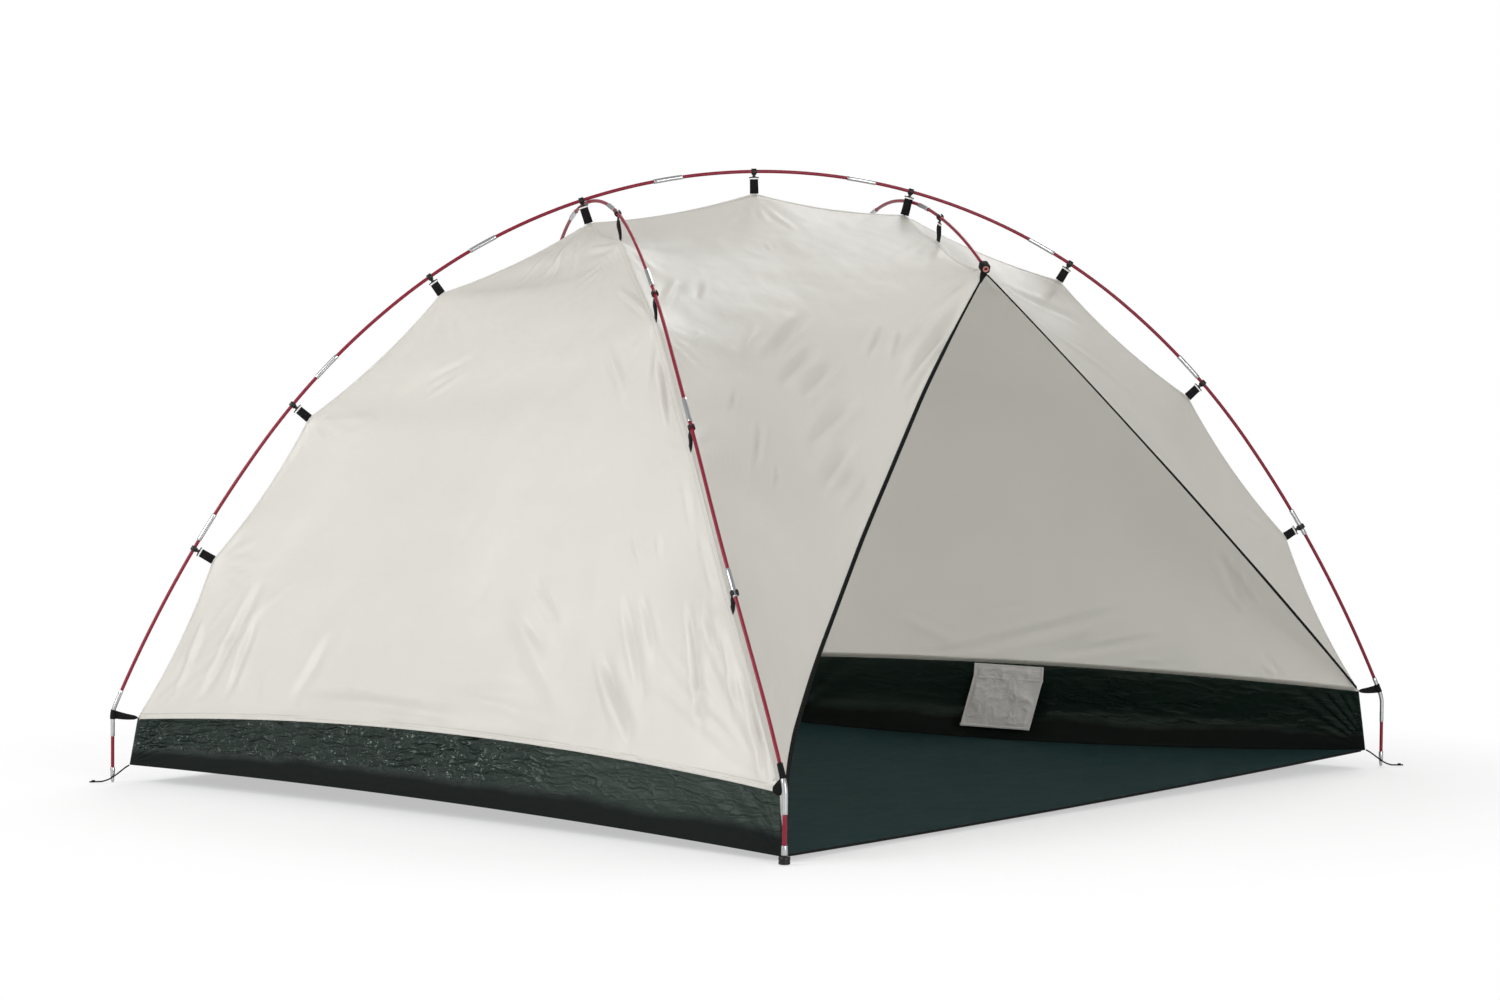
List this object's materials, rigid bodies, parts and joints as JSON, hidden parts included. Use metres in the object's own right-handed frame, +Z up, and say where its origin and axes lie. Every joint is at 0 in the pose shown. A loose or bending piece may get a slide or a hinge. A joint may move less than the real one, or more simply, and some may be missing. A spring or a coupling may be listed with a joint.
{
  "type": "beach tent",
  "caption": "Low beach tent: jointed fibreglass poles over a clipped canopy with a tub floor and one triangular entrance.",
  "frame": {"origin": "on the underside of the floor, midway between the two feet of the long arch", "axes": "+X from the left foot to the right foot of the long arch, -Y to the front, where the entrance opens to the right, and +Z up"},
  "size_m": [2.7186, 2.4149, 1.2298],
  "materials": {
    "cloth": "off-white ripstop cloth, matt",
    "tub": "dark green coated cloth, slightly glossy",
    "rod": "dark red glass-fibre rod",
    "steel": "plain steel tube",
    "webbing": "black woven webbing and cord",
    "clip": "black moulded plastic and webbing",
    "pocket": "light grey mesh cloth"
  },
  "bodies": {
    "tent": {"arch_section_1": "rod", "arch_section_2": "rod", "arch_section_3": "rod", "arch_section_4": "rod", "arch_section_5": "rod", "arch_section_6": "rod", "arch_section_7": "rod", "arch_section_8": "rod", "arch_section_9": "rod", "front_pole_section_1": "rod", "front_pole_section_2": "rod", "front_pole_section_3": "rod", "front_pole_section_4": "rod", "front_pole_section_5": "rod", "front_pole_section_6": "rod", "front_pole_section_7": "rod", "front_pole_section_8": "rod", "porch_pole_section_1": "rod", "porch_pole_section_2": "rod", "porch_pole_section_3": "rod", "porch_pole_section_4": "rod", "porch_pole_section_5": "rod", "elbow_left": "steel", "elbow_front": "steel", "elbow_right": "steel", "elbow_rear_right": "steel", "elbow_rear_left": "steel", "corner_strap_left": "webbing", "corner_strap_front": "webbing", "corner_strap_right": "webbing", "arch_clip_1": "clip", "arch_clip_2": "clip", "arch_clip_3": "clip", "arch_clip_4": "clip", "arch_clip_5": "clip", "arch_clip_6": "clip", "arch_clip_7": "clip", "arch_clip_8": "clip", "arch_clip_9": "clip", "front_pole_clip_1": "clip", "front_pole_clip_2": "clip", "front_pole_clip_3": "clip", "front_pole_clip_4": "clip", "porch_clip": "clip", "panel_left": "cloth", "panel_front": "cloth", "panel_right": "cloth", "panel_rear_right": "cloth", "panel_rear": "cloth", "panel_rear_left": "cloth", "entrance_binding": "webbing", "tub": "tub", "foot_cord_left": "webbing", "foot_cord_right": "webbing"},
    "leg_left": {"leg_left": "rod"},
    "leg_front": {"leg_front": "rod"},
    "leg_right": {"leg_right": "rod"},
    "leg_rear_right": {"leg_rear_right": "rod"},
    "leg_rear_left": {"leg_rear_left": "rod"},
    "seam_pocket": {"seam_pocket": "pocket"}
  },
  "joints": [
    {"name": "leg_left_turn", "type": "hinge", "parent": "tent", "child": "leg_left", "pos_m": [-1.3127, 0, 0.06], "axis": [0, 0, 1], "continuous": true},
    {"name": "leg_front_turn", "type": "hinge", "parent": "tent", "child": "leg_front", "pos_m": [-0.2245, -1.3961, 0.06], "axis": [0, 0, 1], "continuous": true},
    {"name": "leg_right_turn", "type": "hinge", "parent": "tent", "child": "leg_right", "pos_m": [1.3127, 0, 0.06], "axis": [0, 0, 1], "continuous": true},
    {"name": "leg_rear_right_turn", "type": "hinge", "parent": "tent", "child": "leg_rear_right", "pos_m": [0.2471, 0.9881, 0.06], "axis": [0, 0, 1], "continuous": true},
    {"name": "leg_rear_left_turn", "type": "hinge", "parent": "tent", "child": "leg_rear_left", "pos_m": [-0.28, 0.9605, 0.06], "axis": [0, 0, 1], "continuous": true},
    {"name": "pocket_swing", "type": "hinge", "parent": "tent", "child": "seam_pocket", "pos_m": [0.6516, 0.5612, 0.1615], "axis": [-0.7345, 0.6786, 0], "range_deg": [0, 110]}
  ]
}
